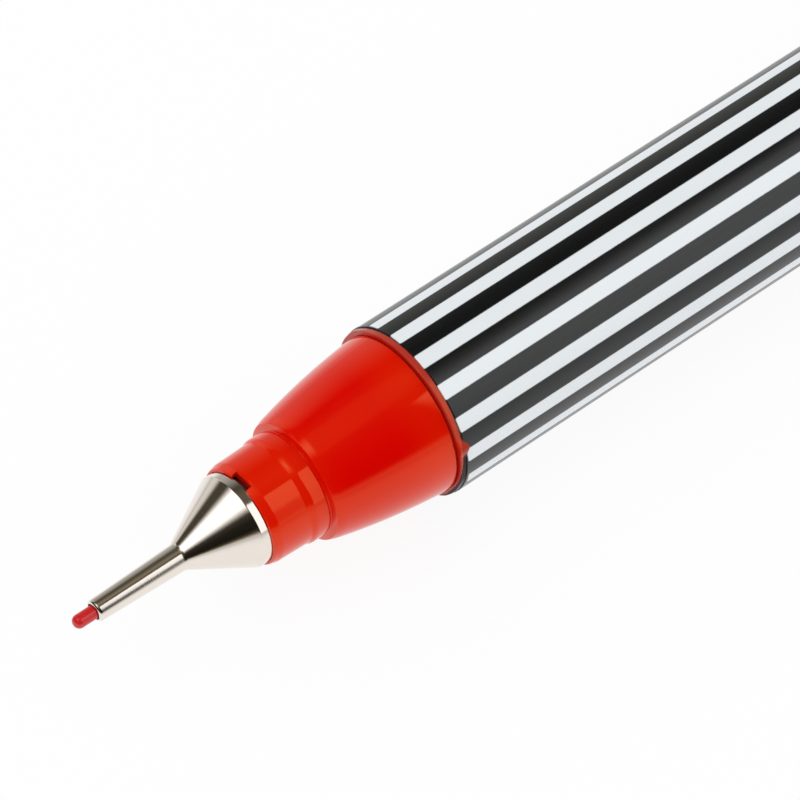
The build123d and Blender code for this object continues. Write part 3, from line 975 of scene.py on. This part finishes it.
def nose_outline(bow):
    """The nose's outline: its bores from the front to the rear, then its outside back again."""
    return rounded(
        [
            (COLLAR_X, COLLAR_BORE_R, 0.0),
            (SEAT_X, COLLAR_BORE_R, 0.0),
            (SEAT_X, NECK_R, 0.0),
            (NECK_END_X, NECK_R, 0.0),
            (NECK_END_X, CHAMBER_R, 0.0),
            (CHAMBER_END_X, CHAMBER_R, 0.0),
            (CHAMBER_END_X, GUIDE_BORE_R, 0.0),
            (GUIDE_END_X, GUIDE_BORE_R, 0.0),
            (GUIDE_END_X, GUIDE_R, 0.0),
            (WEB_END_X, GUIDE_R, 0.0),
            (WEB_END_X, CAVITY_R, 0.0),
            (NOSE_END_X, CAVITY_R, 0.0),
            (NOSE_END_X, SPIGOT_R, 0.1 * MM),
            (BARREL_X, SPIGOT_R, 0.0),
            (BARREL_X, FLANGE_R, 0.03 * MM),
            (RIM_X, FLANGE_R, 0.06 * MM),
            (RIM_X, GAP_R, 0.0),
            (GAP_X, GAP_R, 0.0),
            (GAP_X, NOSE_REAR_R, 0.05 * MM),
            *bowed((GAP_X, NOSE_REAR_R), (SLOPE_X, SLOPE_R), bow),
            (SLOPE_X, SLOPE_R, 1.6 * MM),
            (SHOULDER_X, SHOULDER_R, 0.03 * MM),
            (GROOVE_X, GROOVE_R, 0.04 * MM),
            (RIDGE_X, RIDGE_R, 0.1 * MM),
            (RIDGE_END_X, RIDGE_R, 0.5 * MM),
            (STEP_X, STEP_R, 0.3 * MM),
            (LEDGE_X, COLLAR_R, 0.5 * MM),
            (COLLAR_X, LEDGE_R, 0.08 * MM),
        ]
    )


def vent_shift(outline, cut):
    """How far the collar's front rim moves back in the notches, less deep at its bore."""
    x, r = outline.T
    room, bore_share = 0.36 * MM, 0.75
    front = np.clip(1 - (x - COLLAR_X) / room, 0, 1)
    return (front * np.where(r > COLLAR_BORE_R, 1.0, bore_share))[:, None] * cut


def gap_shift(outline, angles, gape):
    """How far the body's rear edge moves forward: gape (1 + cos a) / 2, less towards the front."""
    x, r = outline.T
    run_out = 2.0 * MM
    body = (r > SHOULDER_R) & (x < GAP_X + 0.005 * MM)
    slack = np.clip(1 - (GAP_X - x) / run_out, 0, 1) * body
    return -slack[:, None] * (gape * (1 + np.cos(angles - GAPE_ANGLE)) / 2)


def flash_form(outline, angles, sizes):
    """How far the flange's rim moves along the axis and outwards.

    Three sine waves round the rim make it wavy. The scrap of flash stands as exp(-a^2), with a
    the angle from its middle over its width, which differs on its two sides.
    """
    x, r = outline.T
    rim = (r > NOSE_REAR_R + 0.02 * MM) & (x > GAP_X)
    rear_edge = rim & (x > BARREL_X - 0.05 * MM) & (r > FLANGE_R - 0.04 * MM)
    waves = sum(np.sin(k * angles + k) for k in (9, 14, 23))
    width = np.where(angles < FLASH_ANGLE, radians(3.4), radians(5.0))
    scrap = np.exp(-(((angles - FLASH_ANGLE) / width) ** 2))
    swell = rim[:, None] * (sizes.flash_wave * waves + sizes.flash_nub * scrap)
    return rear_edge[:, None] * sizes.flash_reach * scrap, swell


class PEN_OT_nose(Operator):
    """Make the red nose, with its flange, groove, ridge, collar and vent notches"""

    bl_idname = "pen.nose"
    bl_label = "Nose"

    def execute(self, context):
        sizes = context.scene.pen_sizes
        outline = nose_outline(sizes.nose_bow)
        centres = [k * 2 * pi / sizes.vent_count for k in range(sizes.vent_count)]
        half = sizes.vent_width / 2 / COLLAR_R
        angles = ring_angles(notch_edges(centres, half))
        cut = in_notch(angles, centres, half) * sizes.vent_depth
        flash, swell = flash_form(outline, angles, sizes)
        shift = vent_shift(outline, cut) + gap_shift(outline, angles, sizes.gap_gape) + flash
        plastic = shared("nose_red", nose_red, sizes, context.scene.pen_colours)
        mesh = turned("nose_shell", outline, angles, shift, swell)
        place(mesh, plastic, "pen", "nose_section")
        return {"FINISHED"}


class PEN_OT_tip(Operator):
    """Make the plated metal tip: needle, cone and base band"""

    bl_idname = "pen.tip"
    bl_label = "Metal tip"

    def execute(self, context):
        outline = rounded(
            [
                (NEEDLE_X, NIB_BORE_R, 0.03 * MM),
                (SOCKET_X, NIB_BORE_R, 0.0),
                (SOCKET_X, SOCKET_R, 0.0),
                (TIP_REAR_X, SOCKET_R, 0.0),
                (TIP_REAR_X, SHANK_R, 0.05 * MM),
                (BAND_X, SHANK_R, 0.0),
                (BAND_X, TIP_REAR_R, 0.03 * MM),
                (CONE_BASE_X, TIP_BASE_R, 0.08 * MM),
                (CONE_APEX_X, NEEDLE_ROOT_R, 0.3 * MM),
                (NEEDLE_X, NEEDLE_END_R, 0.16 * MM),
            ]
        )
        metal = shared("tip_nickel", tip_nickel, context.scene.pen_colours)
        mesh = turned("needle_tip", outline)
        place(mesh, metal, "tip", "metal_tip")
        return {"FINISHED"}


class PEN_OT_nib(Operator):
    """Make the round-ended nib"""

    bl_idname = "pen.nib"
    bl_label = "Nib"

    def execute(self, context):
        outline = rounded(
            [
                (NIB_X, 0.0, 0.0),
                (NIB_X, NIB_R, 0.9 * NIB_R),
                (NIB_END_X, NIB_R, 0.05 * MM),
                (NIB_END_X, 0.0, 0.0),
            ],
            closed=False,
        )
        fibre = shared("inked_nib", inked_nib, context.scene.pen_colours)
        place(turned("nib_rod", outline), fibre, "tip", "nib")
        return {"FINISHED"}


class PEN_OT_spring(Operator):
    """Make the spring that is pressed together as the tip slides in"""

    bl_idname = "pen.spring"
    bl_label = "Spring"

    def execute(self, context):
        turns = context.scene.pen_sizes.spring_turns
        mesh = coil("tip_coil", SPRING_X + WIRE_R, SPRING_END_X - WIRE_R, turns)
        wire = shared("spring_wire", spring_wire)
        piece = show(mesh, wire, "tip_spring")
        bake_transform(piece)
        return {"FINISHED"}


class PEN_OT_tail(Operator):
    """Make the plug that closes the barrel and carries the posted cap"""

    bl_idname = "pen.tail"
    bl_label = "Tail plug"

    def execute(self, context):
        taper = 0.35 * MM
        outline = rounded(
            [
                (STUB_X, 0.0, 0.0),
                (STUB_X, STUB_R - taper, 0.4 * MM),
                (TAPER_X, STUB_R, 0.5 * MM),
                (TAIL_X, STUB_R, 0.0),
                (TAIL_X, SPIGOT_R, 0.0),
                (TAIL_SPIGOT_X, SPIGOT_R, 0.1 * MM),
                (TAIL_SPIGOT_X, CAVITY_R, 0.0),
                (TAIL_CAVITY_X, CAVITY_R, 0.0),
                (TAIL_CAVITY_X, BOSS_R, 0.0),
                (BOSS_X, BOSS_R, 0.1 * MM),
                (BOSS_X, BOSS_BORE_R, 0.0),
                (TAIL_CAVITY_X, BOSS_BORE_R, 0.0),
                (TAIL_CAVITY_X, 0.0, 0.0),
            ],
            closed=False,
        )
        plastic = shared("moulded_red", moulded_red, context.scene.pen_colours)
        place(turned("tail_stub", outline), plastic, "pen", "tail_plug")
        return {"FINISHED"}


def cap_tube(angles, slotted):
    """The cap's shell, whose rear end moves forward in the clip's slot."""
    slot_depth = 0.8 * MM
    room = 2.0 * MM
    outline = rounded(
        [
            (MOUTH_X, CAP_BORE_R, 0.1 * MM),
            (CAP_END_X, CAP_BORE_R, 0.0),
            (CAP_END_X, CAP_R, 0.06 * MM),
            (MOUTH_X, CAP_R, 0.2 * MM),
        ]
    )
    share = np.clip(1 - (CAP_END_X - outline[:, 0]) / room, 0, 1)
    return turned("cap_tube", outline, angles, -share[:, None] * slotted * slot_depth)


def cap_crown_dome(angles, slotted):
    """The crown: a dome of radius (r^2 + h^2) / 2h on a plug that the clip's slot parts."""
    plug_rest = 0.05 * MM
    rise = CROWN_TOP_X - CROWN_EDGE_X
    radius = (CROWN_R**2 + rise**2) / (2 * rise)
    dome_r = np.linspace(0, CROWN_R, DOME_POINTS)
    dome_x = CROWN_TOP_X - radius + np.sqrt(radius**2 - dome_r**2)
    outline = rounded(
        [
            *((x, r, 0.0) for x, r in zip(dome_x[:-2], dome_r[:-2])),
            (CROWN_EDGE_X, CROWN_R, 0.4 * MM),
            (CAP_END_X, CROWN_R, 0.08 * MM),
            (CAP_END_X, PLUG_R, 0.0),
            (CROWN_PLUG_X, PLUG_R, 0.1 * MM),
            (CROWN_PLUG_X, PLUG_BORE_R, 0.0),
            (CAP_END_X, PLUG_BORE_R, 0.0),
            (CAP_END_X, 0.0, 0.0),
        ],
        closed=False,
    )
    plug = CAP_END_X - CROWN_PLUG_X
    share = np.clip((CAP_END_X - outline[1:-1, 0]) / plug, 0, 1)
    shift = share[:, None] * slotted * (plug - plug_rest)
    return turned("cap_crown_dome", outline, angles, shift)


class PEN_OT_cap(Operator):
    """Make the cap's shell and its domed crown, both slotted for the clip"""

    bl_idname = "pen.cap"
    bl_label = "Cap"

    def execute(self, context):
        colours = context.scene.pen_colours
        clip_angle = float(np.arctan2(-CLIP_OUT[1], CLIP_OUT[2]))
        half = CLIP_SLOT / 2 / CAP_R
        angles = ring_angles(notch_edges([clip_angle], half))
        slotted = in_notch(angles, [clip_angle], half)
        plastic = shared("moulded_red", moulded_red, colours)
        place(cap_tube(angles, slotted), plastic, "cap", "cap_shell")
        black = shared("crown_black", crown_black, colours)
        place(cap_crown_dome(angles, slotted), black, "cap", "cap_crown")
        return {"FINISHED"}


class PEN_OT_clip(Operator):
    """Make the sprung strip clip"""

    bl_idname = "pen.clip"
    bl_label = "Clip"

    def execute(self, context):
        sizes = context.scene.pen_sizes
        path = rounded(
            [
                (TANG_X, TANG_R, 0.0),
                (TANG_X, ARM_R, 0.8 * MM),
                (HEEL_X, HEEL_R, 4.0 * MM),
                (LIP_X, LIP_R, 0.0),
            ],
            closed=False,
        )
        finer = np.linspace(0, len(path) - 1, CLIP_STEPS * len(path))
        stations = np.arange(len(path))
        path = np.stack([np.interp(finer, stations, path[:, k]) for k in (0, 1)], -1)
        edge = 0.1 * MM
        tip_r = sizes.clip_tip / 2
        narrowest = 0.05 * tip_r
        from_lip = np.clip(path[:, 0] - path[:, 0].min(), 0, None)
        taper = np.interp(from_lip, (tip_r, CAP_END_X - LIP_X), (tip_r, sizes.clip_root / 2))
        inside = np.clip(tip_r - from_lip, 0, tip_r)
        end = np.sqrt(np.clip(tip_r**2 - inside**2, narrowest**2, None))
        half_width = np.where(from_lip < tip_r, end, taper)
        mesh = strip("clip_strip", path, CLIP_OUT, half_width, sizes.clip_thickness, edge)
        metal = shared("brushed_nickel", brushed_nickel, context.scene.pen_colours)
        place(mesh, metal, "clip", "cap_clip")
        return {"FINISHED"}


class PEN_OT_inside(Operator):
    """Finish the pieces inside the pen that keep their solids' shapes"""

    bl_idname = "pen.inside"
    bl_label = "Inside pieces"

    def execute(self, context):
        colours = context.scene.pen_colours
        natural = shared("natural_plastic", natural_plastic, colours)
        finishes = {
            "tip_carrier": natural,
            "cap_liner": natural,
            "reservoir_core": shared("inked_fibre", inked_fibre),
            "reservoir_wrap": shared("milky_film", milky_film),
        }
        for name, material in finishes.items():
            slots = frame["nodes"][name].data.materials
            slots.clear()
            slots.append(material)
        return {"FINISHED"}


# The studio's lamps and world


def direction(azimuth, elevation):
    """The unit vector towards a place round the pen: azimuth 0 is -Y and 90 degrees is +X."""
    flat = cos(elevation)
    return Vector((sin(azimuth) * flat, -cos(azimuth) * flat, sin(elevation)))


def soft_lamp(brightness):
    """A large lamp over the nib that shapes the light; its power is brightness x pi x area."""
    azimuth, elevation = radians(-99.0), radians(70.0)
    reach, width, height = 0.9, 0.9, 0.7
    towards = direction(azimuth, elevation)
    lamp = bpy.data.lights.new("soft_lamp", "AREA")
    lamp.shape = "RECTANGLE"
    lamp.size = width
    lamp.size_y = height
    lamp.energy = brightness * pi * width * height
    panel = in_scene("soft_lamp", lamp)
    panel.location = Vector((RIM_X, 0.0, 0.0)) + towards * reach
    panel.rotation_mode = "QUATERNION"
    panel.rotation_quaternion = (-towards).to_track_quat("-Z", "Y")
    panel.visible_camera = False
    panel.visible_glossy = False


def panel_mask(wiring, view, azimuth, elevation, roll, sides, heights):
    """1 where a view direction meets a flat panel, 0 elsewhere, with soft edges.

    The panel stands square to its azimuth and elevation, one unit away and rolled. Where the
    direction d meets its plane, the place on it is (d . side) / (d . out) across and
    (d . up) / (d . out) up.
    """
    out = direction(radians(azimuth), radians(elevation))
    side = Quaternion(out, radians(roll)) @ direction(radians(azimuth + 90.0), 0.0)
    up = out.cross(side)
    ahead = wiring.dot(view, out)
    mask = wiring.math("GREATER_THAN", ahead, 0.01)
    for axis, (low, high, soft) in ((side, sides), (up, heights)):
        spot = wiring.math("DIVIDE", wiring.dot(view, axis), ahead)
        for edge, inwards in ((low, soft), (high, -soft)):
            past = wiring.step(spot, edge - inwards, edge + inwards, smooth=True)
            mask = wiring.math("MULTIPLY", mask, past)
    return mask


def gloss_ray(wiring, rays):
    """1 for a ray that a glossy or clear surface sends, else 0."""
    return wiring.math("MAXIMUM", rays["Is Glossy Ray"], rays["Is Transmission Ray"])


def studio_world(studio):
    """White behind the pen, even light on it, and a dim room with pale panels in its gloss."""
    world = bpy.data.worlds.new("studio")
    bpy.context.scene.world = world
    world.use_nodes = True
    world.cycles.sampling_method = "NONE"
    w = Wiring(world.node_tree)
    rays = w.node("ShaderNodeLightPath").outputs
    view = w.node("ShaderNodeTexCoord").outputs["Generated"]
    room = w.node("ShaderNodeValToRGB")
    w.feed(room.inputs["Fac"], w.axes(view)[2])
    stops = room.color_ramp.elements
    while len(stops) < len(ROOM_LEVELS):
        stops.new(1.0)
    for stop, (height, level) in zip(stops, ROOM_LEVELS):
        stop.position = height
        stop.color = rgba(ROOM_TINT, level)
    seen = room.outputs["Color"]
    for brightness, tint, panel in (
        (studio.wall, ROOM_TINT, DIM_WALL),
        (studio.key, WHITE, KEY_PANEL),
        (studio.head, WHITE, KEY_HEAD),
        (studio.wing, WHITE, FILL_WING),
        (studio.fill, WHITE, FILL_PANEL),
        (studio.card, CARD_TINT, BACK_CARD),
        (studio.side_card, CARD_TINT, SIDE_CARD),
    ):
        seen = w.mix(panel_mask(w, view, *panel), seen, rgba(tint, brightness))
    lit = w.mix(gloss_ray(w, rays), rgba(WHITE, studio.sky), seen)
    backdrop = w.mix(rays["Is Camera Ray"], lit, rgba(WHITE))
    w.feed(w.nodes["Background"].inputs["Color"], backdrop)


def studio_floor(studio):
    """A wide white floor whose white mostly glows for what sees it, and keeps a soft shadow."""
    half = 4.0
    level = CAD_LOW.z
    corners = [(x * half, y * half, level) for x, y in ((-1, -1), (1, -1), (1, 1), (-1, 1))]
    mesh = bpy.data.meshes.new("floor")
    mesh.from_pydata(corners, [], [(0, 1, 2, 3)])
    material = bpy.data.materials.new("floor_white")
    material.use_nodes = True
    w = Wiring(material.node_tree)
    w.nodes.remove(w.nodes["Principled BSDF"])
    rays = w.node("ShaderNodeLightPath").outputs
    gloss = gloss_ray(w, rays)
    looks = w.math("MAXIMUM", rays["Is Camera Ray"], gloss)
    spot = w.node("ShaderNodeTexCoord").outputs["Object"]
    away = w.math("ABSOLUTE", w.axes(spot)[1])
    near, far, far_level = 10 * MM, 70 * MM, 0.62
    dim = w.ramp(away, near, far, 1.0, far_level, smooth=True)
    paint_level = 0.93
    paint = w.node("ShaderNodeBsdfDiffuse")
    paint.inputs["Color"].default_value = rgba(WHITE, paint_level)
    shine = w.node("ShaderNodeEmission")
    w.feed(shine.inputs["Strength"], w.between(gloss, 1.0, dim))
    blend = w.node("ShaderNodeMixShader")
    w.feed(blend.inputs["Fac"], w.between(looks, studio.floor_bounce, studio.floor_glow))
    w.feed(blend.inputs[1], paint.outputs["BSDF"])
    w.feed(blend.inputs[2], shine.outputs["Emission"])
    w.feed(w.nodes["Material Output"].inputs["Surface"], blend.outputs["Shader"])
    mesh.materials.append(material)
    floor = in_scene("floor", mesh)


def photo_camera(studio):
    """The camera, set back from the barrel's rim along the view and lifted square to it."""
    back = direction(studio.azimuth, studio.elevation)
    turn = (-back).to_track_quat("-Z", "Y")
    lens = bpy.data.cameras.new("camera")
    lens.lens = studio.lens
    lens.clip_start = 0.01
    lens.clip_end = 100.0
    camera = in_scene("camera", lens)
    camera.rotation_mode = "QUATERNION"
    camera.rotation_quaternion = turn
    rim = Vector((RIM_X, 0.0, 0.0))
    camera.location = rim + back * studio.distance + turn @ Vector((0.0, studio.lift, 0.0))
    bpy.context.scene.camera = camera


class PEN_OT_stage(Operator):
    """Set up the floor, the lamps, the world and the camera"""

    bl_idname = "pen.stage"
    bl_label = "Stage"

    def execute(self, context):
        studio = context.scene.pen_studio
        context.scene.view_settings.view_transform = "Standard"
        studio_world(studio)
        studio_floor(studio)
        soft_lamp(studio.lamp)
        photo_camera(studio)
        return {"FINISHED"}


OPERATORS = (
    PEN_OT_barrel,
    PEN_OT_nose,
    PEN_OT_tip,
    PEN_OT_nib,
    PEN_OT_spring,
    PEN_OT_tail,
    PEN_OT_cap,
    PEN_OT_clip,
    PEN_OT_inside,
    PEN_OT_stage,
)


class VIEW3D_PT_pen(Panel):
    """Sizes, colours and steps of the fineliner pen"""

    bl_idname = "VIEW3D_PT_pen"
    bl_label = "Fineliner pen"
    bl_space_type = "VIEW_3D"
    bl_region_type = "UI"
    bl_category = "Pen"

    def draw(self, context):
        for group in (
            context.scene.pen_sizes,
            context.scene.pen_colours,
            context.scene.pen_studio,
        ):
            box = self.layout.box()
            for name in group.__annotations__:
                box.prop(group, name)
        for operator in OPERATORS:
            self.layout.operator(operator.bl_idname)


CLASSES = (PenSizes, PenColours, PenStudio, *OPERATORS, VIEW3D_PT_pen)


def register():
    """Registers the classes and hangs the property groups on the scene."""
    for cls in CLASSES:
        bpy.utils.register_class(cls)
    bpy.types.Scene.pen_sizes = PointerProperty(type=PenSizes)
    bpy.types.Scene.pen_colours = PointerProperty(type=PenColours)
    bpy.types.Scene.pen_studio = PointerProperty(type=PenStudio)


def unregister():
    """Takes the property groups and the classes away again."""
    del bpy.types.Scene.pen_sizes
    del bpy.types.Scene.pen_colours
    del bpy.types.Scene.pen_studio
    for cls in reversed(CLASSES):
        bpy.utils.unregister_class(cls)


def main():
    """Builds every piece and the stage."""
    register()
    bpy.ops.pen.barrel()
    bpy.ops.pen.nose()
    bpy.ops.pen.tip()
    bpy.ops.pen.nib()
    bpy.ops.pen.spring()
    bpy.ops.pen.tail()
    bpy.ops.pen.cap()
    bpy.ops.pen.clip()
    bpy.ops.pen.inside()
    bpy.ops.pen.stage()


if __name__ == "__main__":
    main()
